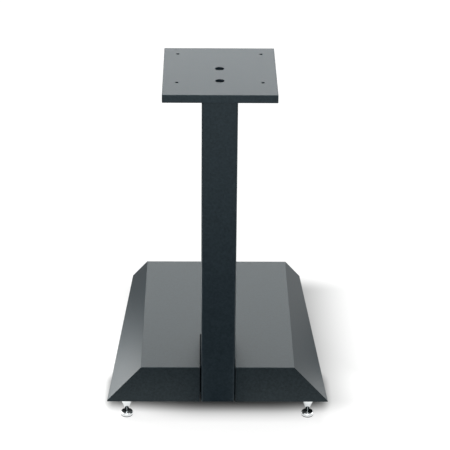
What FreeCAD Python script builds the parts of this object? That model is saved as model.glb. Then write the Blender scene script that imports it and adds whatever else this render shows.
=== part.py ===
"""Speaker stand: a bevelled plinth, a rectangular steel column, a top plate and four adjustable spikes.

Sizes are in millimetres. X runs to the right, Y from the front to the back and Z up, with the floor at 0.
The origin lies under the middle of the stand's outer box.
"""
import FreeCAD
import Part
import math
import os

Vector = FreeCAD.Vector

# Plinth: a solid board with a level top, bevelled sides and sides that draw in towards the back.
plinth_front_width = 390.0
plinth_rear_width = 326.0
plinth_top_width = 269.0
plinth_depth = 418.0
plinth_height = 69.0
plinth_front_land = 2.0  # upright strip left below the bevel at the front corners
plinth_edge_radius = 1.2
notch_gap_left = 2.0
notch_gap_right = 1.0
notch_gap_rear = 2.0

# Column: rectangular tube that stands in the plinth's notch, flush with its front.
column_width = 60.0
column_depth = 120.0
column_length = 579.0
column_wall = 3.0
column_corner_radius = 4.0

# Plates welded inside the two ends of the tube.
cap_thickness = 8.0
cap_gap = 0.1  # weld gap between a cap and the inside of the tube

# Top plate.
plate_width = 189.0
plate_depth = 222.0
plate_thickness = 14.0
plate_overhang_front = 33.0
plate_edge_radius = 0.8
speaker_hole_diameter = 6.0
speaker_hole_spacing_x = 142.0
speaker_hole_spacing_y = 135.5
speaker_hole_front_inset = 56.5

# Low-headed socket screws from the top plate into the column's top cap.
top_screw_spacing = 57.0
top_screw_diameter = 8.0
top_screw_length = 16.0
top_screw_head_diameter = 13.0
top_screw_head_height = 5.0
top_screw_socket_width = 5.0
top_screw_socket_depth = 3.0
counterbore_diameter = 15.5
counterbore_depth = 9.0

# Foot plate: let into the underside, it carries the column and is screwed to the plinth.
foot_plate_width = 160.0
foot_plate_depth = 150.0
foot_plate_thickness = 5.0
foot_plate_corner_radius = 8.0
foot_plate_front_inset = 24.0
foot_plate_pocket_gap = 0.5
foot_screw_spacing = 45.0
foot_screw_diameter = 8.0
foot_screw_length = 14.0
foot_screw_head_diameter = 15.0
foot_screw_socket_width = 5.0
foot_screw_socket_depth = 2.5
plinth_screw_inset = 12.0
plinth_screw_diameter = 5.0
plinth_screw_length = 40.0
plinth_screw_head_diameter = 9.5
plinth_screw_socket_width = 3.0
plinth_screw_socket_depth = 1.8
plinth_screw_point = 6.0

# Levelling feet.
foot_inset_side = 31.0
foot_inset_end = 31.0
insert_barrel_diameter = 12.0
insert_barrel_length = 18.0
insert_flange_diameter = 19.0
insert_flange_thickness = 1.5
stud_diameter = 8.0
stud_engagement = 16.0
stud_end_chamfer = 1.0
nut_width = 13.0
nut_height = 4.0
nut_corner_chamfer = 0.8
spike_diameter = 18.0
spike_barrel_height = 15.0
spike_flat_width = 15.0
spike_flat_height = 7.0
spike_half_angle = 25.0  # degrees, between the cone's side and its axis
spike_tip_radius = 0.4
spike_edge_chamfer = 0.6
shoe_diameter = 22.0
shoe_height = 6.0
shoe_bevel = 1.2
shoe_bevel_height = 1.8
shoe_dish_depth = 1.5
shoe_dish_seat_radius = 1.0  # small level spot that the spike's tip stands on
pad_diameter = 21.0
pad_height = 1.5

# Clearances.
screw_clearance = 0.5  # round a screw where it passes freely through a plate
thread_clearance = 0.05  # between an outside and an inside thread, both drawn plain
seat_clearance = 0.02  # round a piece that is pressed or screwed into its hole
hole_end_clearance = 2.0  # past the end of a screw or an insert
overcut = 1.0  # how far a cutting solid runs past an open face

# Heights, from the floor up.
cone_height = (spike_diameter / 2 - spike_tip_radius) / math.tan(math.radians(spike_half_angle))
tip_z = pad_height + shoe_height - shoe_dish_depth
barrel_z = tip_z + cone_height
nut_z = barrel_z + spike_barrel_height
flange_z = nut_z + nut_height
underside_z = flange_z + insert_flange_thickness
plinth_top_z = underside_z + plinth_height
column_top_z = underside_z + column_length
plate_top_z = column_top_z + plate_thickness

# Places, from the middle of the outer box.
front_y = plate_overhang_front - (plate_overhang_front + plinth_depth) / 2
rear_y = front_y + plinth_depth
notch_width = notch_gap_left + column_width + notch_gap_right
notch_left_x = -notch_width / 2
column_x = notch_left_x + notch_gap_left + column_width / 2
column_y = front_y + column_depth / 2
column_rear_y = front_y + column_depth
plate_front_y = front_y - plate_overhang_front
speaker_hole_y = plate_front_y + speaker_hole_front_inset + speaker_hole_spacing_y / 2
foot_plate_front_y = front_y + foot_plate_front_inset
foot_plate_rear_y = foot_plate_front_y + foot_plate_depth
foot_screw_y = (foot_plate_front_y + column_rear_y) / 2


def box_between(x0, x1, y0, y1, z0, z1):
    return Part.makeBox(x1 - x0, y1 - y0, z1 - z0, Vector(x0, y0, z0))


def cylinder(diameter, height, x, y, z):
    return Part.makeCylinder(diameter / 2, height, Vector(x, y, z))


def cone(lower_diameter, upper_diameter, height, x, y, z):
    return Part.makeCone(lower_diameter / 2, upper_diameter / 2, height, Vector(x, y, z))


def prism(points, direction):
    wire = Part.makePolygon(points + points[:1])
    return Part.Face(wire).extrude(direction)


def turned(profile, x, y):
    """A solid of revolution about the upright line through (x, y), from (radius, height) pairs."""
    points = [Vector(radius, 0, z) for radius, z in profile]
    wire = Part.makePolygon(points + points[:1])
    solid = Part.Face(wire).revolve(Vector(0, 0, 0), Vector(0, 0, 1), 360)
    solid.translate(Vector(x, y, 0))
    return solid


def hexagon(width_across_flats, height, x, y, z):
    corner_radius = width_across_flats / 2 / math.cos(math.pi / 6)
    angles = [math.radians(60 * corner) for corner in range(6)]
    points = [Vector(x + corner_radius * math.cos(a), y + corner_radius * math.sin(a), z) for a in angles]
    return prism(points, Vector(0, 0, height))


def upright_edges(solid):
    """The straight edges that run along Z."""
    found = []
    for edge in solid.Edges:
        start, end = edge.Vertexes[0].Point, edge.Vertexes[-1].Point
        if abs((end - start).z) > 1e-3 and math.hypot(end.x - start.x, end.y - start.y) < 1e-6:
            found.append(edge)
    return found


def edges_at_height(solid, z):
    """The edges that lie wholly at height z."""
    return [edge for edge in solid.Edges if all(abs(v.Point.z - z) < 1e-6 for v in edge.Vertexes)]


def rounded_bar(x0, x1, y0, y1, z0, z1, radius):
    """An upright bar with its four upright edges rounded."""
    bar = box_between(x0, x1, y0, y1, z0, z1)
    return bar.makeFillet(radius, upright_edges(bar))


def along_y(middle, spacing):
    return [middle - spacing / 2, middle + spacing / 2]


def side_x(y):
    """Half the plinth's width at y: the sides draw in evenly from front to back."""
    share = (y - front_y) / plinth_depth
    return (plinth_front_width + share * (plinth_rear_width - plinth_front_width)) / 2


def foot_places():
    front_foot_y = front_y + foot_inset_end
    rear_foot_y = rear_y - foot_inset_end
    front_foot_x = side_x(front_foot_y) - foot_inset_side
    rear_foot_x = side_x(rear_foot_y) - foot_inset_side
    return {
        "front_left": (-front_foot_x, front_foot_y),
        "front_right": (front_foot_x, front_foot_y),
        "rear_left": (-rear_foot_x, rear_foot_y),
        "rear_right": (rear_foot_x, rear_foot_y),
    }


def plinth_screw_places():
    x = foot_plate_width / 2 - plinth_screw_inset
    front = foot_plate_front_y + plinth_screw_inset
    rear = foot_plate_rear_y - plinth_screw_inset
    return [(-x, front), (x, front), (-x, rear), (x, rear)]


def speaker_hole_places():
    x = speaker_hole_spacing_x / 2
    rows = along_y(speaker_hole_y, speaker_hole_spacing_y)
    return [(column_x + side * x, y) for side in (-1, 1) for y in rows]


def plinth_blank():
    """The board before its notch and holes: the front outline and the plan outline cut each other."""
    half_front = plinth_front_width / 2
    half_top = plinth_top_width / 2
    half_rear = plinth_rear_width / 2
    land_z = underside_z + plinth_front_land
    front_outline = [
        Vector(-half_front, front_y, underside_z),
        Vector(half_front, front_y, underside_z),
        Vector(half_front, front_y, land_z),
        Vector(half_top, front_y, plinth_top_z),
        Vector(-half_top, front_y, plinth_top_z),
        Vector(-half_front, front_y, land_z),
    ]
    plan_outline = [
        Vector(-half_front, front_y, underside_z),
        Vector(half_front, front_y, underside_z),
        Vector(half_rear, rear_y, underside_z),
        Vector(-half_rear, rear_y, underside_z),
    ]
    bevelled = prism(front_outline, Vector(0, plinth_depth, 0))
    tapered = prism(plan_outline, Vector(0, 0, plinth_height))
    blank = bevelled.common(tapered)
    return blank.makeFillet(plinth_edge_radius, edges_at_height(blank, plinth_top_z))


def plinth():
    body = plinth_blank()
    notch = box_between(notch_left_x, notch_left_x + notch_width, front_y - overcut,
                        column_rear_y + notch_gap_rear, underside_z - overcut, plinth_top_z + overcut)
    gap = foot_plate_pocket_gap
    pocket = rounded_bar(-foot_plate_width / 2 - gap, foot_plate_width / 2 + gap, foot_plate_front_y - gap,
                         foot_plate_rear_y + gap, underside_z - overcut, underside_z + foot_plate_thickness,
                         foot_plate_corner_radius + gap)
    body = body.cut(notch).cut(pocket)
    for x, y in foot_places().values():
        depth = insert_barrel_length + hole_end_clearance
        body = body.cut(cylinder(insert_barrel_diameter + 2 * seat_clearance, depth, x, y, underside_z))
    for x, y in plinth_screw_places():
        depth = plinth_screw_length - foot_plate_thickness + hole_end_clearance
        body = body.cut(cylinder(plinth_screw_diameter + 2 * seat_clearance, depth, x, y,
                                 underside_z + foot_plate_thickness))
    return body


def column_tube():
    """The tube, stepped at its foot where it stands on the foot plate."""
    x0, x1 = column_x - column_width / 2, column_x + column_width / 2
    outside = rounded_bar(x0, x1, front_y, column_rear_y, underside_z, column_top_z, column_corner_radius)
    inside = rounded_bar(x0 + column_wall, x1 - column_wall,
                         front_y + column_wall, column_rear_y - column_wall,
                         underside_z, column_top_z, column_corner_radius - column_wall)
    step = box_between(x0, x1, foot_plate_front_y - foot_plate_pocket_gap, column_rear_y,
                       underside_z, underside_z + foot_plate_thickness)
    return outside.cut(inside).cut(step)


def column_cap(z, screw_places, screw_diameter):
    """A plate welded inside the tube from z up, tapped for the screws."""
    inset = column_wall + cap_gap
    half_width = column_width / 2 - inset
    cap = rounded_bar(column_x - half_width, column_x + half_width, front_y + inset, column_rear_y - inset,
                      z, z + cap_thickness, column_corner_radius - column_wall)
    for y in screw_places:
        cap = cap.cut(cylinder(screw_diameter + 2 * thread_clearance, cap_thickness, column_x, y, z))
    return cap


def column_top_cap():
    screw_places = along_y(column_y, top_screw_spacing)
    return column_cap(column_top_z - cap_thickness, screw_places, top_screw_diameter)


def column_foot_cap():
    screw_places = along_y(foot_screw_y, foot_screw_spacing)
    return column_cap(underside_z + foot_plate_thickness, screw_places, foot_screw_diameter)


def top_plate():
    plate = box_between(column_x - plate_width / 2, column_x + plate_width / 2, plate_front_y,
                        plate_front_y + plate_depth, column_top_z, plate_top_z)
    plate = plate.makeFillet(plate_edge_radius, plate.Edges)
    through_diameter = top_screw_diameter + 2 * screw_clearance
    sunk_z = plate_top_z - counterbore_depth
    for y in along_y(column_y, top_screw_spacing):
        through = cylinder(through_diameter, plate_thickness, column_x, y, column_top_z)
        sunk = cylinder(counterbore_diameter, counterbore_depth, column_x, y, sunk_z)
        plate = plate.cut(through).cut(sunk)
    for x, y in speaker_hole_places():
        plate = plate.cut(cylinder(speaker_hole_diameter, plate_thickness, x, y, column_top_z))
    return plate


def top_plate_screws():
    head_z = plate_top_z - counterbore_depth
    screws = []
    for y in along_y(column_y, top_screw_spacing):
        head = cylinder(top_screw_head_diameter, top_screw_head_height, column_x, y, head_z)
        shank = cylinder(top_screw_diameter, top_screw_length, column_x, y, head_z - top_screw_length)
        socket = hexagon(top_screw_socket_width, top_screw_socket_depth, column_x, y,
                         head_z + top_screw_head_height - top_screw_socket_depth)
        screws.append(head.fuse(shank).removeSplitter().cut(socket))
    return Part.makeCompound(screws)


def countersink_height(head_diameter, shank_diameter):
    """Height of a 90 degree countersunk head."""
    return (head_diameter - shank_diameter) / 2


def countersunk_hole(head_diameter, screw_diameter, x, y):
    """The hole for a countersunk screw that enters the foot plate from below."""
    bore_diameter = screw_diameter + 2 * screw_clearance
    bore = cylinder(bore_diameter, foot_plate_thickness, x, y, underside_z)
    mouth_diameter = head_diameter + 2 * screw_clearance
    sink_height = countersink_height(head_diameter, screw_diameter)
    sink = cone(mouth_diameter, bore_diameter, sink_height, x, y, underside_z)
    return bore.fuse(sink)


def foot_plate():
    plate = rounded_bar(-foot_plate_width / 2, foot_plate_width / 2, foot_plate_front_y, foot_plate_rear_y,
                        underside_z, underside_z + foot_plate_thickness, foot_plate_corner_radius)
    for y in along_y(foot_screw_y, foot_screw_spacing):
        plate = plate.cut(countersunk_hole(foot_screw_head_diameter, foot_screw_diameter, column_x, y))
    for x, y in plinth_screw_places():
        plate = plate.cut(countersunk_hole(plinth_screw_head_diameter, plinth_screw_diameter, x, y))
    return plate


def countersunk_screw(profile, socket_width, socket_depth, x, y):
    socket = hexagon(socket_width, socket_depth, x, y, underside_z)
    return turned(profile, x, y).cut(socket)


def column_foot_screws():
    head_radius, radius = foot_screw_head_diameter / 2, foot_screw_diameter / 2
    head_top = underside_z + countersink_height(foot_screw_head_diameter, foot_screw_diameter)
    end = underside_z + foot_screw_length
    profile = [(0, underside_z), (head_radius, underside_z), (radius, head_top), (radius, end), (0, end)]
    return Part.makeCompound([
        countersunk_screw(profile, foot_screw_socket_width, foot_screw_socket_depth, column_x, y)
        for y in along_y(foot_screw_y, foot_screw_spacing)
    ])


def plinth_screws():
    head_radius, radius = plinth_screw_head_diameter / 2, plinth_screw_diameter / 2
    head_top = underside_z + countersink_height(plinth_screw_head_diameter, plinth_screw_diameter)
    end = underside_z + plinth_screw_length
    profile = [(0, underside_z), (head_radius, underside_z), (radius, head_top),
               (radius, end - plinth_screw_point), (0, end)]
    return Part.makeCompound([
        countersunk_screw(profile, plinth_screw_socket_width, plinth_screw_socket_depth, x, y)
        for x, y in plinth_screw_places()
    ])


def insert(x, y):
    """Threaded insert: a barrel in the plinth and a flange against its underside."""
    barrel = cylinder(insert_barrel_diameter, insert_barrel_length, x, y, underside_z)
    flange = cylinder(insert_flange_diameter, insert_flange_thickness, x, y, flange_z)
    height = insert_flange_thickness + insert_barrel_length
    bore = cylinder(stud_diameter + 2 * thread_clearance, height, x, y, flange_z)
    return barrel.fuse(flange).removeSplitter().cut(bore)


def spike(x, y):
    """Cone, barrel with two spanner flats, and the stud that screws into the insert."""
    radius = spike_diameter / 2
    stud_radius = stud_diameter / 2
    stud_top_z = underside_z + stud_engagement
    body = turned([
        (0, tip_z),
        (spike_tip_radius, tip_z),
        (radius, barrel_z),
        (radius, nut_z - spike_edge_chamfer),
        (radius - spike_edge_chamfer, nut_z),
        (stud_radius, nut_z),
        (stud_radius, stud_top_z - stud_end_chamfer),
        (stud_radius - stud_end_chamfer, stud_top_z),
        (0, stud_top_z),
    ], x, y)
    for side in (-1, 1):
        near, far = sorted([y + side * spike_flat_width / 2, y + side * spike_diameter])
        flat = box_between(x - spike_diameter, x + spike_diameter, near, far, nut_z - spike_flat_height, nut_z)
        body = body.cut(flat)
    return body


def lock_nut(x, y):
    """Hexagon nut with its corners turned down at both faces."""
    corner_radius = nut_width / 2 / math.cos(math.pi / 6)
    top_z = nut_z + nut_height
    blank = hexagon(nut_width, nut_height, x, y, nut_z)
    corners = turned([
        (0, nut_z),
        (corner_radius - nut_corner_chamfer, nut_z),
        (corner_radius, nut_z + nut_corner_chamfer * math.tan(math.pi / 6)),
        (corner_radius, top_z - nut_corner_chamfer * math.tan(math.pi / 6)),
        (corner_radius - nut_corner_chamfer, top_z),
        (0, top_z),
    ], x, y)
    bore = cylinder(stud_diameter + 2 * thread_clearance, nut_height, x, y, nut_z)
    return blank.common(corners).cut(bore)


def shoe(x, y):
    """Disc with a bevelled rim and a shallow conical dish that the spike's tip stands in."""
    radius = shoe_diameter / 2
    top_z = pad_height + shoe_height
    return turned([
        (0, pad_height),
        (radius, pad_height),
        (radius, top_z - shoe_bevel_height),
        (radius - shoe_bevel, top_z),
        (shoe_dish_seat_radius, tip_z),
        (0, tip_z),
    ], x, y)


def shoe_pad(x, y):
    return cylinder(pad_diameter, pad_height, x, y, 0)


def nodes():
    made = {
        "plinth": plinth(),
        "foot_plate": foot_plate(),
        "column_tube": column_tube(),
        "column_top_cap": column_top_cap(),
        "column_foot_cap": column_foot_cap(),
        "top_plate": top_plate(),
        "top_plate_screws": top_plate_screws(),
        "column_foot_screws": column_foot_screws(),
        "plinth_screws": plinth_screws(),
    }
    for corner, (x, y) in foot_places().items():
        made["insert_" + corner] = insert(x, y)
        made["spike_" + corner] = spike(x, y)
        made["lock_nut_" + corner] = lock_nut(x, y)
        made["shoe_" + corner] = shoe(x, y)
        made["shoe_pad_" + corner] = shoe_pad(x, y)
    return made


os.makedirs("parts", exist_ok=True)
for name, shape in nodes().items():
    shape.exportStep("parts/" + name + ".step")
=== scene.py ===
"""A speaker stand's finished look: satin black paint, plated feet with cut threads, and a pale studio.

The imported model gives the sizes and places. Lengths are in metres unless a name says otherwise.
"""

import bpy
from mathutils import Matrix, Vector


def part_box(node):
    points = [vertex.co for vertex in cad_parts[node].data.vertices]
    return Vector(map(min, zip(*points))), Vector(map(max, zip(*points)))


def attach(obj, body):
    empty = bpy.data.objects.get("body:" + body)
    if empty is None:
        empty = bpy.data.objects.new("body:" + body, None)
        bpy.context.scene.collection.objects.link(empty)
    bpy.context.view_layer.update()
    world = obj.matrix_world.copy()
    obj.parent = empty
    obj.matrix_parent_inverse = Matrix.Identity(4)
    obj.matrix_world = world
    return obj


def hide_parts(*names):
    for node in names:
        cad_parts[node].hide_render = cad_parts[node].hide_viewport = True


bl_info = {
    "name": "Speaker Stand Finish",
    "version": (1, 0, 0),
    "blender": (4, 5, 0),
    "location": "View3D > Sidebar > Speaker Stand",
    "description": "Paints a speaker stand, plates and threads its feet and sets it in a pale studio",
    "category": "Object",
}

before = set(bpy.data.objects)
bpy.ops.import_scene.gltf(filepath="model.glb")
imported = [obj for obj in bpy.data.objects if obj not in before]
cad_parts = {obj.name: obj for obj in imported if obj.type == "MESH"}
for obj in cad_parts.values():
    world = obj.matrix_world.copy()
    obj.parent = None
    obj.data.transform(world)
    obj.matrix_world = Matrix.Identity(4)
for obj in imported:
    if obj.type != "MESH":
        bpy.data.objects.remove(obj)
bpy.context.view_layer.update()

import math

import bmesh
import bpy
from bpy.props import FloatProperty, FloatVectorProperty, IntProperty, PointerProperty
from mathutils import Quaternion, Vector

MM = 0.001
CORNERS = ("front_left", "front_right", "rear_left", "rear_right")

# kinds of node socket
GEOMETRY = "NodeSocketGeometry"
LENGTH = "NodeSocketFloat"
COUNT = "NodeSocketInt"
PLACE = "NodeSocketVector"
MATERIAL = "NodeSocketMaterial"

# satin paint
PAINT_IOR = 1.47
PAINT_HIGHLIGHT = "#EDFDFF"  # faintly cool
PAINT_ROUGHNESS = (0.43, 0.53)
PAINT_RELIEF = 0.05 * MM

# turned and threaded pieces
SHARP_ANGLE = math.radians(35)
AXIS_GAP = 1e-6  # radius of the ring that a profile is swept round
FILLET_STEPS = 4
HELIX_STEPS = 48  # in each turn
THREAD_DEPTH = 0.54  # this and the next two are shares of the pitch
THREAD_HALF_ROOT = 0.40
THREAD_HALF_CREST = 0.0625
RIDGE_SINK = 0.05 * MM  # how far a thread's ridge reaches into its core

# studio
FLOOR_GREY = "#8C8D8C"
# black sheets that only mirrors see: painted dark reflections in the paint and the chrome
DARK_REFLECTION_BLACK = "#1A1A1A"
DARK_REFLECTION_HEIGHT = 1 * MM
DARK_REFLECTION_SHEETS = {  # left front and right back corners
    "front_dark_reflection": ((-1.5, -1.0), (1.5, -0.34)),
    "column_dark_reflection": ((-0.035, -0.34), (0.035, -0.2)),
    "back_left_dark_reflection": ((-3.0, 0.5), (-0.3, 4.0)),
    "right_dark_reflection": ((0.22, -0.05), (0.5, 0.4)),
}
# a black card before each front foot that only mirrors see: painted dark reflection in the spike's cone and
# disc
DARK_REFLECTION_CARD_Y = -0.29
DARK_REFLECTION_CARD_HALF_WIDTH = 0.022
DARK_REFLECTION_CARD_BOTTOM, DARK_REFLECTION_CARD_TOP = 0.028, 0.075
SENSOR_WIDTH = 36  # mm
VIEW_END = 100
STAND_MIDDLE = (0, 0, 0.2)
LAMPS = {  # place, aim, width and height, watts
    "back_softbox": ((0, 3.1, 1.5), STAND_MIDDLE, (3.0, 0.5), 36),
    "overhead_softbox": ((0, 0.2, 3.0), STAND_MIDDLE, (2.0, 2.0), 56),
    "front_softbox": ((0, -3.0, 1.7), STAND_MIDDLE, (2.0, 0.6), 34),
    "left_front_strip": ((-0.40, -0.1, 0.12), (0, -0.2, 0.08), (0.3, 0.2), 0.46),
    "left_low_strip": ((-0.34, -0.02, 0.09), (-0.1, -0.15, 0.08), (0.25, 0.12), 0.21),
    "left_back_strip": ((-0.36, 0.1, 0.08), (-0.1, -0.1, 0.08), (0.3, 0.12), 0.09),
    "right_low_strip": ((0.33, -0.09, 0.06), (0.17, -0.21, 0.06), (0.2, 0.08), 0.10),
}


def linear(hex_colour):
    """An sRGB hex colour as the linear RGBA that Blender works in."""
    channels = [int(hex_colour[i:i + 2], 16) / 255 for i in (1, 3, 5)]
    return tuple(c / 12.92 if c <= 0.04045 else ((c + 0.055) / 1.055) ** 2.4 for c in channels) + (1.0,)


# ---------------------------------------------------------------- sizes and colours


class FinishSettings(bpy.types.PropertyGroup):
    """Colours of the paint, the plating and the small parts."""

    board_paint: FloatVectorProperty(
        name="Board paint", description="Satin black paint on the plinth",
        subtype="COLOR", size=4, min=0, max=1, default=linear("#08151C"))
    steel_paint: FloatVectorProperty(
        name="Steel paint", description="Satin black powder coat on the column and plates",
        subtype="COLOR", size=4, min=0, max=1, default=linear("#0D1C25"))
    chrome: FloatVectorProperty(
        name="Chrome", description="Chrome plate on the spikes, nuts and discs",
        subtype="COLOR", size=4, min=0, max=1, default=linear("#E4E7E8"))
    zinc: FloatVectorProperty(
        name="Zinc", description="Zinc plate on the inserts and the column's inner plates",
        subtype="COLOR", size=4, min=0, max=1, default=linear("#B9BDBE"))
    black_oxide: FloatVectorProperty(
        name="Black oxide", description="Blackened steel of the screws",
        subtype="COLOR", size=4, min=0, max=1, default=linear("#3A3D40"))
    rubber: FloatVectorProperty(
        name="Rubber", description="Pads under the discs",
        subtype="COLOR", size=4, min=0, max=1, default=linear("#1E1E1F"))


class FootSettings(bpy.types.PropertyGroup):
    """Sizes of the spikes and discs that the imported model's boxes don't give."""

    barrel_height: FloatProperty(
        name="Barrel height", description="Straight part of a spike above its cone",
        unit="LENGTH", min=0.001, default=12 * MM)
    spanner_width: FloatProperty(
        name="Spanner width", description="Distance across a spike's two flats",
        unit="LENGTH", min=0.001, default=15 * MM)
    spanner_height: FloatProperty(
        name="Spanner height", description="Height of a spike's flats",
        unit="LENGTH", min=0.001, default=7 * MM)
    tip_radius: FloatProperty(
        name="Tip radius", description="Blunt end of a spike",
        unit="LENGTH", min=0.0001, default=0.4 * MM)
    edge_radius: FloatProperty(
        name="Edge radius", description="How far plated edges are rounded",
        unit="LENGTH", min=0.00005, default=0.25 * MM)
    shoulder_chamfer: FloatProperty(
        name="Shoulder chamfer", description="Chamfer round the top of a spike's barrel",
        unit="LENGTH", min=0, default=0.6 * MM)
    thread_pitch: FloatProperty(
        name="Thread pitch", description="Rise of a stud's thread in one turn",
        unit="LENGTH", min=0.0003, default=1.25 * MM)
    thread_diameter: FloatProperty(
        name="Thread diameter", description="Outside of a stud's thread",
        unit="LENGTH", min=0.002, default=8 * MM)
    disc_bevel: FloatProperty(
        name="Disc bevel", description="Width of the bevel round a disc, seen from above",
        unit="LENGTH", min=0.0001, default=1.2 * MM)
    disc_bevel_height: FloatProperty(
        name="Disc bevel height", description="Height of the bevel round a disc",
        unit="LENGTH", min=0.0001, default=1.8 * MM)
    dish_seat_radius: FloatProperty(
        name="Dish seat radius", description="Level spot that the spike's tip stands on",
        unit="LENGTH", min=0.0002, default=1 * MM)
    segments: IntProperty(
        name="Segments", description="Sides of every turned piece",
        min=24, max=256, default=96)


class ScrewSettings(bpy.types.PropertyGroup):
    """Sizes of the two cap screws in the top plate."""

    head_height: FloatProperty(
        name="Head height", description="Height of a cap screw's head",
        unit="LENGTH", min=0.001, default=5 * MM)
    socket_width: FloatProperty(
        name="Socket width", description="Width across the flats of the hexagon socket",
        unit="LENGTH", min=0.001, default=5 * MM)
    socket_depth: FloatProperty(
        name="Socket depth", description="Depth of the hexagon socket",
        unit="LENGTH", min=0.001, default=3 * MM)
    edge_radius: FloatProperty(
        name="Edge radius", description="How far the head's edge is rounded",
        unit="LENGTH", min=0.0001, default=0.5 * MM)


class StageSettings(bpy.types.PropertyGroup):
    """The studio round the stand."""

    lens: FloatProperty(
        name="Lens", description="Focal length on a 36 mm wide sensor",
        unit="CAMERA", min=10, default=150)
    camera_place: FloatVectorProperty(
        name="Camera place", description="Where the camera stands",
        subtype="TRANSLATION", unit="LENGTH", size=3, default=(-0.0284, -3.0539, 1.7447))
    pitch: FloatProperty(
        name="Pitch", description="How far the camera looks down",
        subtype="ANGLE", unit="ROTATION", default=math.radians(25.33))
    yaw: FloatProperty(
        name="Yaw", description="How far the camera looks to the right",
        subtype="ANGLE", unit="ROTATION", default=math.radians(0.78))
    roll: FloatProperty(
        name="Roll", description="How far the camera leans",
        subtype="ANGLE", unit="ROTATION", default=math.radians(0.51))
    floor_size: FloatProperty(
        name="Floor size", description="Side of the square floor",
        unit="LENGTH", min=1, default=16)
    # the floor's white glow; where it is held back near the stand, it leaves painted shade on the floor
    floor_lift: FloatProperty(
        name="Floor lift", description="White that the backdrop adds to the floor away from the stand",
        min=0, max=1, default=0.875)
    # two boxes of painted shade on the floor, where the floor's white glow is held back
    soft_shade_low: FloatVectorProperty(
        name="Soft shade low corner", description="Left front corner of the wide shade on the floor",
        subtype="TRANSLATION", unit="LENGTH", size=3, default=(-0.010, -0.103, -1))
    soft_shade_high: FloatVectorProperty(
        name="Soft shade high corner", description="Right back corner of the wide shade on the floor",
        subtype="TRANSLATION", unit="LENGTH", size=3, default=(0.089, 0.316, 1))
    soft_shade_fade: FloatVectorProperty(
        name="Soft shade fade", description="Widths over which the wide shade turns white",
        subtype="TRANSLATION", unit="LENGTH", size=3, default=(0.218, 0.090, 1))
    front_shade_low: FloatVectorProperty(
        name="Front shade low corner",
        description="Left front corner of the shade under the plinth's front edge",
        subtype="TRANSLATION", unit="LENGTH", size=3, default=(-0.187, -0.110, -1))
    front_shade_high: FloatVectorProperty(
        name="Front shade high corner",
        description="Right back corner of the shade under the plinth's front edge",
        subtype="TRANSLATION", unit="LENGTH", size=3, default=(0.187, -0.050, 1))
    front_shade_fade: FloatVectorProperty(
        name="Front shade fade", description="Widths over which the front shade turns white",
        subtype="TRANSLATION", unit="LENGTH", size=3, default=(0.024, 0.050, 1))
    room_light: FloatProperty(
        name="Room light", description="Strength of the even light from all round",
        min=0, default=0.03)


# ---------------------------------------------------------------- node helpers


def add(tree, kind, inputs=None, **settings):
    """Adds a node; each input is a value, or the output socket to link from."""
    node = tree.nodes.new(kind)
    for name, value in settings.items():
        setattr(node, name, value)
    for key, value in (inputs or {}).items():
        if isinstance(value, bpy.types.NodeSocket):
            tree.links.new(value, node.inputs[key])
        else:
            node.inputs[key].default_value = value
    return node


def emptied_tree(owner):
    """The node tree of a new material or world, with nothing in it."""
    owner.use_nodes = True
    owner.node_tree.nodes.clear()
    return owner.node_tree


def new_material(name):
    """A material with its output and principled shader, and its tree."""
    material = bpy.data.materials.new(name)
    tree = emptied_tree(material)
    shader = add(tree, "ShaderNodeBsdfPrincipled")
    add(tree, "ShaderNodeOutputMaterial", {"Surface": shader.outputs["BSDF"]})
    return material, tree, shader


def worked(tree, operation, first, second):
    """What a maths node makes of two figures."""
    return add(tree, "ShaderNodeMath", {0: first, 1: second}, operation=operation).outputs[0]


def grain(tree, size_mm, detail=2.0, roughness=0.5):
    """Noise on the object's own coordinates whose grains are about size_mm across."""
    place = add(tree, "ShaderNodeTexCoord").outputs["Object"]
    noise = add(tree, "ShaderNodeTexNoise", {
        "Vector": place, "Scale": 1 / (size_mm * MM), "Detail": detail, "Roughness": roughness})
    return noise.outputs["Fac"]


def spread(tree, factor, low, high):
    """Noise, which mostly lies between 0.25 and 0.75, spread over the range low to high."""
    return add(tree, "ShaderNodeMapRange", {
        "Value": factor, "From Min": 0.25, "From Max": 0.75, "To Min": low, "To Max": high}).outputs["Result"]


def shaded(tree, colour, factor, low, high):
    """A colour made darker and lighter by noise, between low and high times itself."""
    shade = spread(tree, factor, low, high)
    scaled = add(tree, "ShaderNodeVectorMath", {0: colour[:3], "Scale": shade}, operation="SCALE")
    return scaled.outputs["Vector"]


# ---------------------------------------------------------------- materials


def satin_paint(name, colour, grain_mm, mottle, sheen):
    """A dark satin skin whose fine texture breaks up its cool sheen and its colour."""
    material, tree, shader = new_material(name)
    shader.inputs["IOR"].default_value = PAINT_IOR
    shader.inputs["Specular Tint"].default_value = linear(PAINT_HIGHLIGHT)
    texture = grain(tree, grain_mm, detail=3.0, roughness=0.6)
    tree.links.new(shaded(tree, colour, texture, 1 - mottle, 1 + mottle), shader.inputs["Base Color"])
    tree.links.new(spread(tree, texture, *PAINT_ROUGHNESS), shader.inputs["Roughness"])
    tree.links.new(spread(tree, texture, 0.5 - sheen, 0.5 + sheen), shader.inputs["Specular IOR Level"])
    bump = add(tree, "ShaderNodeBump", {"Height": texture, "Distance": PAINT_RELIEF, "Strength": 1.0})
    tree.links.new(bump.outputs["Normal"], shader.inputs["Normal"])
    return material


def satin_powder_coat(colour):
    """Polyester powder coat on steel: a dark satin skin with an even, slightly mottled texture."""
    return satin_paint("Satin black powder coat", colour, 3.6, 0.25, 0.09)


def satin_board_lacquer(colour):
    """Sprayed textured lacquer on fibreboard: a little finer and more mottled than the powder coat."""
    return satin_paint("Satin black board lacquer", colour, 3.4, 0.28, 0.11)


def polished_chrome(colour):
    """Chrome plate on turned brass: a mirror, dulled a little by fine polishing marks."""
    material, tree, shader = new_material("Polished chrome plate")
    shader.inputs["Base Color"].default_value = colour
    shader.inputs["Metallic"].default_value = 1.0
    marks = grain(tree, 0.5)
    tree.links.new(spread(tree, marks, 0.06, 0.09), shader.inputs["Roughness"])
    return material


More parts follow.
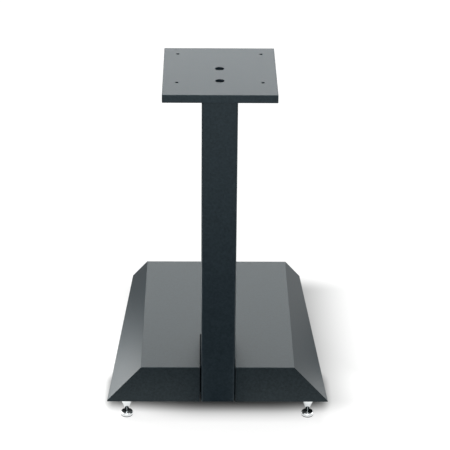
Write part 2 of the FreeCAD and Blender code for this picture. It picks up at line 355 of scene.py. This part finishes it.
def zinc_plate(colour):
    """Bright zinc on steel: a soft grey metal, slightly clouded."""
    material, tree, shader = new_material("Zinc plated steel")
    shader.inputs["Metallic"].default_value = 1.0
    clouds = grain(tree, 3.0, detail=4.0)
    tree.links.new(shaded(tree, colour, clouds, 0.85, 1.08), shader.inputs["Base Color"])
    tree.links.new(spread(tree, clouds, 0.26, 0.40), shader.inputs["Roughness"])
    return material


def black_oxide_steel(colour):
    """Blackened steel of a cap screw: nearly black, with an oily sheen on its rounded edges."""
    material, tree, shader = new_material("Black oxide steel")
    shader.inputs["Metallic"].default_value = 1.0
    specks = grain(tree, 0.6, detail=3.0)
    tree.links.new(shaded(tree, colour, specks, 0.8, 1.15), shader.inputs["Base Color"])
    tree.links.new(spread(tree, specks, 0.30, 0.44), shader.inputs["Roughness"])
    return material


def moulded_rubber(colour):
    """Moulded rubber: matt and dark, with a faint bloom."""
    material, tree, shader = new_material("Moulded rubber")
    bloom = grain(tree, 1.0, detail=4.0)
    tree.links.new(shaded(tree, colour, bloom, 0.8, 1.3), shader.inputs["Base Color"])
    tree.links.new(spread(tree, bloom, 0.65, 0.85), shader.inputs["Roughness"])
    bump = add(tree, "ShaderNodeBump", {"Height": bloom, "Distance": 0.02 * MM, "Strength": 0.5})
    tree.links.new(bump.outputs["Normal"], shader.inputs["Normal"])
    return material


def at_corners(prefix):
    """The names of the four nodes or pieces of one kind."""
    return [prefix + corner for corner in CORNERS]


def finish_nodes(material, *names):
    """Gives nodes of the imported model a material."""
    for name in names:
        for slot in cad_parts[name].material_slots:
            slot.material = material


# ---------------------------------------------------------------- turned and threaded pieces


def new_tree(name, inputs):
    """A Geometry Nodes tree with named inputs of the given kinds; gives the tree and its input node."""
    tree = bpy.data.node_groups.new(name, "GeometryNodeTree")
    for label, kind in {"Geometry": GEOMETRY, **inputs}.items():
        tree.interface.new_socket(label, in_out="INPUT", socket_type=kind)
    tree.interface.new_socket("Geometry", in_out="OUTPUT", socket_type=GEOMETRY)
    return tree, add(tree, "NodeGroupInput").outputs


def end_tree(tree, mesh, given):
    """Shades the mesh, keeps its sharp edges sharp, moves it to its place and gives it its material."""
    smooth = add(tree, "GeometryNodeSetShadeSmooth", {"Geometry": mesh})
    angle = add(tree, "GeometryNodeInputMeshEdgeAngle").outputs["Unsigned Angle"]
    sharp = add(tree, "FunctionNodeCompare", {0: angle, 1: SHARP_ANGLE}, operation="GREATER_THAN")
    marked = add(tree, "GeometryNodeStoreNamedAttribute", {
        "Geometry": smooth.outputs[0], "Name": "sharp_edge", "Value": sharp.outputs["Result"]},
        data_type="BOOLEAN", domain="EDGE")
    moved = add(tree, "GeometryNodeTransform", {"Geometry": marked.outputs[0], "Translation": given["Place"]})
    real = add(tree, "GeometryNodeRealizeInstances", {"Geometry": moved.outputs[0]})
    painted = add(tree, "GeometryNodeSetMaterial", {
        "Geometry": real.outputs[0], "Material": given["Material"]})
    add(tree, "NodeGroupOutput", {"Geometry": painted.outputs[0]})
    return tree


def turned(tree, given):
    """The input profile, its corners rounded, swept round the Z axis into a closed mesh."""
    rounded = add(tree, "GeometryNodeFilletCurve", {
        "Curve": given["Geometry"], "Count": FILLET_STEPS, "Radius": given["Edge radius"],
        "Limit Radius": True}, mode="POLY")
    upright = add(tree, "GeometryNodeTransform", {
        "Geometry": rounded.outputs[0], "Translation": (-AXIS_GAP, 0, 0), "Scale": (1, -1, 1)})
    ring = add(tree, "GeometryNodeCurvePrimitiveCircle", {
        "Resolution": given["Segments"], "Radius": AXIS_GAP}, mode="RADIUS")
    swept = add(tree, "GeometryNodeCurveToMesh", {
        "Curve": ring.outputs["Curve"], "Profile Curve": upright.outputs[0]})
    merged = add(tree, "GeometryNodeMergeByDistance", {
        "Geometry": swept.outputs[0], "Distance": 4 * AXIS_GAP})
    return merged.outputs[0]


def thread(tree, given):
    """The ridge of a right-handed thread: a trapezoid wound up a helix from the thread's lowest turn."""
    core = worked(tree, "SUBTRACT", given["Core radius"], RIDGE_SINK)
    turns = worked(tree, "DIVIDE", given["Thread length"], given["Pitch"])
    helix = add(tree, "GeometryNodeCurveSpiral", {
        "Resolution": HELIX_STEPS, "Rotations": turns, "Start Radius": core, "End Radius": core,
        "Height": given["Thread length"], "Reverse": True})
    height = worked(tree, "SUBTRACT", given["Outer radius"], core)
    half_root = worked(tree, "MULTIPLY", given["Pitch"], THREAD_HALF_ROOT)
    half_crest = worked(tree, "MULTIPLY", given["Pitch"], THREAD_HALF_CREST)
    corners = [add(tree, "ShaderNodeCombineXYZ", {"X": x, "Y": y}).outputs[0]
               for x, y in ((0.0, half_root), (height, half_crest))]
    mirrored = [add(tree, "ShaderNodeVectorMath", {0: corner, 1: (1, -1, 1)}, operation="MULTIPLY").outputs[0]
                for corner in corners]
    ridge = add(tree, "GeometryNodeCurvePrimitiveQuadrilateral", {
        "Point 1": corners[0], "Point 2": corners[1], "Point 3": mirrored[1], "Point 4": mirrored[0]},
        mode="POINTS")
    wound = add(tree, "GeometryNodeCurveToMesh", {
        "Curve": helix.outputs[0], "Profile Curve": ridge.outputs[0], "Fill Caps": True})
    start = add(tree, "ShaderNodeCombineXYZ", {"Z": given["Thread start"]}).outputs[0]
    raised = add(tree, "GeometryNodeTransform", {"Geometry": wound.outputs[0], "Translation": start})
    return raised.outputs[0]


def cut(tree, body, tools):
    """A body with tools cut away from it."""
    node = add(tree, "GeometryNodeMeshBoolean", {"Mesh 1": body}, operation="DIFFERENCE", solver="EXACT")
    for tool in tools:
        tree.links.new(tool, node.inputs["Mesh 2"])
    return node.outputs["Mesh"]


def joined(tree, *parts):
    """Several meshes as one."""
    node = add(tree, "GeometryNodeJoinGeometry")
    for part in parts:
        tree.links.new(part, node.inputs["Geometry"])
    return node.outputs[0]


TURNED_INPUTS = {"Edge radius": LENGTH, "Segments": COUNT, "Place": PLACE, "Material": MATERIAL}
THREAD_INPUTS = {"Core radius": LENGTH, "Outer radius": LENGTH, "Pitch": LENGTH,
                 "Thread start": LENGTH, "Thread length": LENGTH}


def disc_tree():
    """A turned disc."""
    tree, given = new_tree("Spike disc", TURNED_INPUTS)
    return end_tree(tree, turned(tree, given), given)


def spike_tree():
    """A turned spike with two spanner flats and a threaded stud."""
    tree, given = new_tree("Threaded spike", {
        **TURNED_INPUTS, **THREAD_INPUTS, "Flat size": PLACE, "Flat place": PLACE})
    flats = []
    for side in (1, -1):
        block = add(tree, "GeometryNodeMeshCube", {"Size": given["Flat size"]}).outputs[0]
        place = add(tree, "ShaderNodeVectorMath", {
            0: given["Flat place"], 1: (1, side, 1)}, operation="MULTIPLY")
        flats.append(add(tree, "GeometryNodeTransform", {
            "Geometry": block, "Translation": place.outputs[0]}).outputs[0])
    body = cut(tree, turned(tree, given), flats)
    return end_tree(tree, joined(tree, body, thread(tree, given)), given)


def cap_screw_tree():
    """A turned cap screw with a hexagon socket and a threaded shank."""
    tree, given = new_tree("Cap screw", {
        **TURNED_INPUTS, **THREAD_INPUTS,
        "Socket radius": LENGTH, "Socket depth": LENGTH, "Socket place": PLACE})
    prism = add(tree, "GeometryNodeMeshCylinder", {
        "Vertices": 6, "Radius": given["Socket radius"], "Depth": given["Socket depth"]}).outputs["Mesh"]
    socket = add(tree, "GeometryNodeTransform", {"Geometry": prism, "Translation": given["Socket place"]})
    body = cut(tree, turned(tree, given), [socket.outputs[0]])
    return end_tree(tree, joined(tree, body, thread(tree, given)), given)


def core_radius(foot):
    """Radius at the foot of a thread's groove."""
    return foot.thread_diameter / 2 - THREAD_DEPTH * foot.thread_pitch


def thread_values(foot, low_z, high_z):
    """Inputs of a thread that stops one pitch short of each end of its shank."""
    return {
        "Core radius": core_radius(foot),
        "Outer radius": foot.thread_diameter / 2,
        "Pitch": foot.thread_pitch,
        "Thread start": low_z + foot.thread_pitch,
        "Thread length": high_z - low_z - 2 * foot.thread_pitch,
    }


def profile_object(name, points):
    """A curve object through (radius, height) pairs."""
    curve = bpy.data.curves.new(name, "CURVE")
    curve.dimensions = "3D"
    spline = curve.splines.new("POLY")
    spline.points.add(len(points) - 1)
    for point, (radius, height) in zip(spline.points, points):
        point.co = (radius, height, 0, 1)
    source = bpy.data.objects.new(name, curve)
    bpy.context.scene.collection.objects.link(source)
    return source


def grow(name, points, tree, values):
    """A plain mesh piece that a tree makes from a profile."""
    source = profile_object(name + "_profile", points)
    modifier = source.modifiers.new(tree.name, "NODES")
    modifier.node_group = tree
    for item in tree.interface.items_tree:
        if item.in_out == "INPUT" and item.name in values:
            modifier[item.identifier] = values[item.name]
    depsgraph = bpy.context.evaluated_depsgraph_get()
    mesh = bpy.data.meshes.new_from_object(source.evaluated_get(depsgraph))
    bpy.data.objects.remove(source)
    shell = bmesh.new()
    shell.from_mesh(mesh)
    bmesh.ops.recalc_face_normals(shell, faces=shell.faces)
    shell.to_mesh(mesh)
    shell.free()
    piece = bpy.data.objects.new(name, mesh)
    bpy.context.scene.collection.objects.link(piece)
    weighted = piece.modifiers.new("Even shading", "WEIGHTED_NORMAL")
    weighted.keep_sharp = True
    return piece


# ---------------------------------------------------------------- operators


class STAND_OT_plinth(bpy.types.Operator):
    """Lacquers the plinth"""

    bl_idname = "stand.plinth"
    bl_label = "Plinth"

    def execute(self, context):
        finish_nodes(satin_board_lacquer(context.scene.stand_finish.board_paint), "plinth")
        return {"FINISHED"}


class STAND_OT_steelwork(bpy.types.Operator):
    """Powder coats the column, the top plate and the foot plate"""

    bl_idname = "stand.steelwork"
    bl_label = "Column and plates"

    def execute(self, context):
        coat = satin_powder_coat(context.scene.stand_finish.steel_paint)
        finish_nodes(coat, "column_tube", "top_plate", "foot_plate")
        return {"FINISHED"}


class STAND_OT_plated_fixings(bpy.types.Operator):
    """Zinc plates the threaded inserts and the plates inside the column"""

    bl_idname = "stand.plated_fixings"
    bl_label = "Inserts and inner plates"

    def execute(self, context):
        zinc = zinc_plate(context.scene.stand_finish.zinc)
        finish_nodes(zinc, "column_top_cap", "column_foot_cap", *at_corners("insert_"))
        return {"FINISHED"}


class STAND_OT_screws(bpy.types.Operator):
    """Makes the two cap screws in the top plate and blackens the screws under the plinth"""

    bl_idname = "stand.screws"
    bl_label = "Screws"

    def execute(self, context):
        size = context.scene.stand_screw
        foot = context.scene.stand_foot
        black = black_oxide_steel(context.scene.stand_finish.black_oxide)
        finish_nodes(black, "column_foot_screws", "plinth_screws")
        low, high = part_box("top_plate_screws")
        head_radius = (high.x - low.x) / 2
        shank_radius = core_radius(foot)
        length = high.z - low.z
        head_z = length - size.head_height
        profile = [
            (0, 0),
            (shank_radius, 0),
            (shank_radius, head_z),
            (head_radius, head_z),
            (head_radius, length),
            (0, length),
        ]
        tree = cap_screw_tree()
        places = {"front": low.y + head_radius, "rear": high.y - head_radius}
        for end, y in places.items():
            screw = grow("cap_screw_" + end, profile, tree, {
                "Edge radius": size.edge_radius,
                "Segments": foot.segments,
                "Place": ((low.x + high.x) / 2, y, low.z),
                "Material": black,
                **thread_values(foot, 0, head_z),
                "Socket radius": size.socket_width / 2 / math.cos(math.pi / 6),
                "Socket depth": 2 * size.socket_depth,
                "Socket place": (0, 0, length),
            })
            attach(screw, "stand")
            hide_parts("top_plate_screws")
        return {"FINISHED"}


class STAND_OT_spikes(bpy.types.Operator):
    """Makes the four chromed spikes with their threaded studs"""

    bl_idname = "stand.spikes"
    bl_label = "Spikes"

    def execute(self, context):
        size = context.scene.stand_foot
        chrome = polished_chrome(context.scene.stand_finish.chrome)
        tree = spike_tree()
        stud_radius = core_radius(size)
        for corner in CORNERS:
            low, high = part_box("spike_" + corner)
            radius = (high.x - low.x) / 2
            shoulder_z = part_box("lock_nut_" + corner)[0].z - low.z
            stud_z = high.z - low.z
            profile = [
                (0, 0),
                (size.tip_radius, 0),
                (radius, shoulder_z - size.barrel_height),
                (radius, shoulder_z - size.shoulder_chamfer),
                (radius - size.shoulder_chamfer, shoulder_z),
                (stud_radius, shoulder_z),
                (stud_radius, stud_z),
                (0, stud_z),
            ]
            reach = 2 * radius
            spike = grow("chrome_spike_" + corner, profile, tree, {
                "Edge radius": size.edge_radius,
                "Segments": size.segments,
                "Place": ((low.x + high.x) / 2, (low.y + high.y) / 2, low.z),
                "Material": chrome,
                **thread_values(size, shoulder_z, stud_z),
                "Flat size": (2 * reach, reach, 2 * size.spanner_height),
                "Flat place": (0, (size.spanner_width + reach) / 2, shoulder_z),
            })
            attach(spike, corner + "_spike")
            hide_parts("spike_" + corner)
        return {"FINISHED"}


class STAND_OT_lock_nuts(bpy.types.Operator):
    """Chromes the lock nuts above the spikes"""

    bl_idname = "stand.lock_nuts"
    bl_label = "Lock nuts"

    def execute(self, context):
        chrome = polished_chrome(context.scene.stand_finish.chrome)
        finish_nodes(chrome, *at_corners("lock_nut_"))
        return {"FINISHED"}


class STAND_OT_discs(bpy.types.Operator):
    """Makes the four dished discs that the spikes stand in, on their rubber pads"""

    bl_idname = "stand.discs"
    bl_label = "Discs and pads"

    def execute(self, context):
        size = context.scene.stand_foot
        chrome = polished_chrome(context.scene.stand_finish.chrome)
        tree = disc_tree()
        for corner in CORNERS:
            low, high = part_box("shoe_" + corner)
            radius = (high.x - low.x) / 2
            height = high.z - low.z
            seat_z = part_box("spike_" + corner)[0].z - low.z
            profile = [
                (0, 0),
                (radius, 0),
                (radius, height - size.disc_bevel_height),
                (radius - size.disc_bevel, height),
                (size.dish_seat_radius, seat_z),
                (0, seat_z),
            ]
            disc = grow("chrome_disc_" + corner, profile, tree, {
                "Edge radius": size.edge_radius,
                "Segments": size.segments,
                "Place": ((low.x + high.x) / 2, (low.y + high.y) / 2, low.z),
                "Material": chrome,
            })
            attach(disc, corner + "_shoe")
            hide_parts("shoe_" + corner)
        rubber = moulded_rubber(context.scene.stand_finish.rubber)
        finish_nodes(rubber, *at_corners("shoe_pad_"))
        return {"FINISHED"}


def white_to_the_eye(tree):
    """1 for rays that the camera or a mirror sees, 0 for those that only light the stand or the floor."""
    rays = add(tree, "ShaderNodeLightPath").outputs
    shiny = worked(tree, "MAXIMUM", rays["Is Glossy Ray"], rays["Is Transmission Ray"])
    seen = worked(tree, "MAXIMUM", rays["Is Camera Ray"], shiny)
    first = worked(tree, "LESS_THAN", rays["Diffuse Depth"], 0.5)
    return worked(tree, "MULTIPLY", seen, first)


def level(low, high, height):
    """The corners of a level rectangle."""
    outline = (low, (high[0], low[1]), high, (low[0], high[1]))
    return [(x, y, height) for x, y in outline]


def sheet(name, corners, material):
    """A flat sheet of the stage with four corners."""
    mesh = bpy.data.meshes.new(name)
    mesh.from_pydata(corners, [], [(0, 1, 2, 3)])
    mesh.materials.append(material)
    laid = bpy.data.objects.new(name, mesh)
    bpy.context.scene.collection.objects.link(laid)
    return laid


def dark_reflection_sheet(name, corners, material):
    """A sheet that only mirrors see, never the camera, the light or the shadows: a painted dark reflection."""
    laid = sheet(name, corners, material)
    laid.visible_camera = False
    laid.visible_diffuse = False
    laid.visible_shadow = False


def build_dark_reflections():
    """Painted dark reflections: black sheets on the floor round the stand, and a black card upright before
    each front foot, which only mirrors see.
    """
    material = bpy.data.materials.new("Painted dark reflection")
    tree = emptied_tree(material)
    dark_reflection_shader = add(tree, "ShaderNodeBsdfDiffuse", {"Color": linear(DARK_REFLECTION_BLACK)})
    add(tree, "ShaderNodeOutputMaterial", {"Surface": dark_reflection_shader.outputs[0]})
    for name, (low, high) in DARK_REFLECTION_SHEETS.items():
        dark_reflection_sheet(name, level(low, high, DARK_REFLECTION_HEIGHT), material)
    for corner in ("front_left", "front_right"):
        low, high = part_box("spike_" + corner)
        left = (low.x + high.x) / 2 - DARK_REFLECTION_CARD_HALF_WIDTH
        right = (low.x + high.x) / 2 + DARK_REFLECTION_CARD_HALF_WIDTH
        dark_reflection_sheet(corner + "_dark_reflection_card", [(left, DARK_REFLECTION_CARD_Y, DARK_REFLECTION_CARD_BOTTOM), (right, DARK_REFLECTION_CARD_Y, DARK_REFLECTION_CARD_BOTTOM),
                                 (right, DARK_REFLECTION_CARD_Y, DARK_REFLECTION_CARD_TOP), (left, DARK_REFLECTION_CARD_Y, DARK_REFLECTION_CARD_TOP)], material)


def clear_of_box(tree, low, high, fade):
    """0 inside an upright box, rising smoothly to 1 where a point lies a fade's width outside it."""
    low, high = Vector(low), Vector(high)
    place = add(tree, "ShaderNodeTexCoord").outputs["Object"]
    nought = (0, 0, 0)
    steps = (("SUBTRACT", (low + high) / 2), ("ABSOLUTE", nought), ("SUBTRACT", (high - low) / 2),
             ("MAXIMUM", nought), ("DIVIDE", fade))  # ABSOLUTE takes no second value
    for operation, second in steps:
        place = add(tree, "ShaderNodeVectorMath", {0: place, 1: second}, operation=operation).outputs["Vector"]
    distance = add(tree, "ShaderNodeVectorMath", {0: place}, operation="LENGTH").outputs["Value"]
    eased = add(tree, "ShaderNodeMapRange", {"Value": distance}, interpolation_type="SMOOTHSTEP")
    return eased.outputs["Result"]


def build_floor(stage):
    """A large pale floor that keeps the stand's shadow and turns white a little way from it; near the stand
    its white glow is held back in two boxes, which paints shade on the floor.
    """
    half = stage.floor_size / 2
    material = bpy.data.materials.new("Studio floor")
    tree = emptied_tree(material)
    paper = add(tree, "ShaderNodeBsdfDiffuse", {"Color": linear(FLOOR_GREY)})
    # painted shade on the floor: the white glow is held back inside these two boxes
    soft = clear_of_box(tree, stage.soft_shade_low, stage.soft_shade_high, stage.soft_shade_fade)
    front = clear_of_box(tree, stage.front_shade_low, stage.front_shade_high, stage.front_shade_fade)
    lift = worked(tree, "MULTIPLY", worked(tree, "MULTIPLY", soft, front), stage.floor_lift)
    strength = worked(tree, "MULTIPLY", lift, white_to_the_eye(tree))
    glow = add(tree, "ShaderNodeEmission", {"Strength": strength})
    both = add(tree, "ShaderNodeAddShader", {0: paper.outputs[0], 1: glow.outputs[0]})
    add(tree, "ShaderNodeOutputMaterial", {"Surface": both.outputs[0]})
    sheet("studio_floor", level((-half, -half), (half, half), 0), material)


def build_room(stage):
    """Even light from all round, which looks white."""
    world = bpy.data.worlds.new("Studio room")
    tree = emptied_tree(world)
    light = add(tree, "ShaderNodeBackground", {"Color": (1, 1, 1, 1), "Strength": stage.room_light})
    white = add(tree, "ShaderNodeBackground", {"Color": (1, 1, 1, 1), "Strength": 1.0})
    chosen = add(tree, "ShaderNodeMixShader", {
        0: white_to_the_eye(tree), 1: light.outputs[0], 2: white.outputs[0]})
    add(tree, "ShaderNodeOutputWorld", {"Surface": chosen.outputs[0]})
    bpy.context.scene.world = world


def build_lamps():
    """Soft lamps, each pointing from its place to its aim."""
    for name, (place, aim, (width, height), watts) in LAMPS.items():
        light = bpy.data.lights.new(name, "AREA")
        light.shape = "RECTANGLE"
        light.size = width
        light.size_y = height
        light.energy = watts
        lamp = bpy.data.objects.new(name, light)
        lamp.location = place
        lamp.rotation_mode = "QUATERNION"
        lamp.rotation_quaternion = (Vector(aim) - Vector(place)).to_track_quat("-Z", "Y")
        lamp.visible_camera = False
        bpy.context.scene.collection.objects.link(lamp)


def build_camera(stage):
    """The camera at the photograph's place."""
    data = bpy.data.cameras.new("camera")
    data.lens = stage.lens
    data.sensor_width = SENSOR_WIDTH
    data.clip_end = VIEW_END
    camera = bpy.data.objects.new("camera", data)
    ahead = Vector((math.sin(stage.yaw) * math.cos(stage.pitch), math.cos(stage.yaw) * math.cos(stage.pitch),
                    -math.sin(stage.pitch)))
    camera.location = stage.camera_place
    camera.rotation_mode = "QUATERNION"
    camera.rotation_quaternion = ahead.to_track_quat("-Z", "Y") @ Quaternion((0, 0, 1), stage.roll)
    bpy.context.scene.collection.objects.link(camera)
    bpy.context.scene.camera = camera


class STAND_OT_stage(bpy.types.Operator):
    """Builds the floor with its painted shade, the black sheets that paint dark reflections, the room, the
    lamps and the camera
    """

    bl_idname = "stand.stage"
    bl_label = "Stage"

    def execute(self, context):
        stage = context.scene.stand_stage
        build_floor(stage)
        build_dark_reflections()
        build_room(stage)
        build_lamps()
        build_camera(stage)
        context.scene.view_settings.view_transform = "Standard"
        return {"FINISHED"}


class STAND_PT_panel(bpy.types.Panel):
    """Lists the stand's pieces and their settings"""

    bl_idname = "STAND_PT_panel"
    bl_label = "Speaker Stand"
    bl_space_type = "VIEW_3D"
    bl_region_type = "UI"
    bl_category = "Speaker Stand"

    def draw(self, context):
        for operator in OPERATORS:
            self.layout.operator(operator.bl_idname)
        for name in SETTINGS:
            box = self.layout.box()
            group = getattr(context.scene, name)
            for field in group.bl_rna.properties:
                if field.identifier not in ("rna_type", "name"):
                    box.prop(group, field.identifier)


OPERATORS = (STAND_OT_plinth, STAND_OT_steelwork, STAND_OT_plated_fixings, STAND_OT_screws, STAND_OT_spikes,
             STAND_OT_lock_nuts, STAND_OT_discs, STAND_OT_stage)
SETTINGS = {"stand_finish": FinishSettings, "stand_foot": FootSettings, "stand_screw": ScrewSettings,
            "stand_stage": StageSettings}


def register():
    for group in SETTINGS.values():
        bpy.utils.register_class(group)
    for name, group in SETTINGS.items():
        setattr(bpy.types.Scene, name, PointerProperty(type=group))
    for operator in OPERATORS:
        bpy.utils.register_class(operator)
    bpy.utils.register_class(STAND_PT_panel)


def unregister():
    bpy.utils.unregister_class(STAND_PT_panel)
    for operator in reversed(OPERATORS):
        bpy.utils.unregister_class(operator)
    for name in SETTINGS:
        delattr(bpy.types.Scene, name)
    for group in reversed(list(SETTINGS.values())):
        bpy.utils.unregister_class(group)


def main():
    register()
    bpy.ops.stand.plinth()
    bpy.ops.stand.steelwork()
    bpy.ops.stand.plated_fixings()
    bpy.ops.stand.screws()
    bpy.ops.stand.spikes()
    bpy.ops.stand.lock_nuts()
    bpy.ops.stand.discs()
    bpy.ops.stand.stage()


if __name__ == "__main__":
    main()
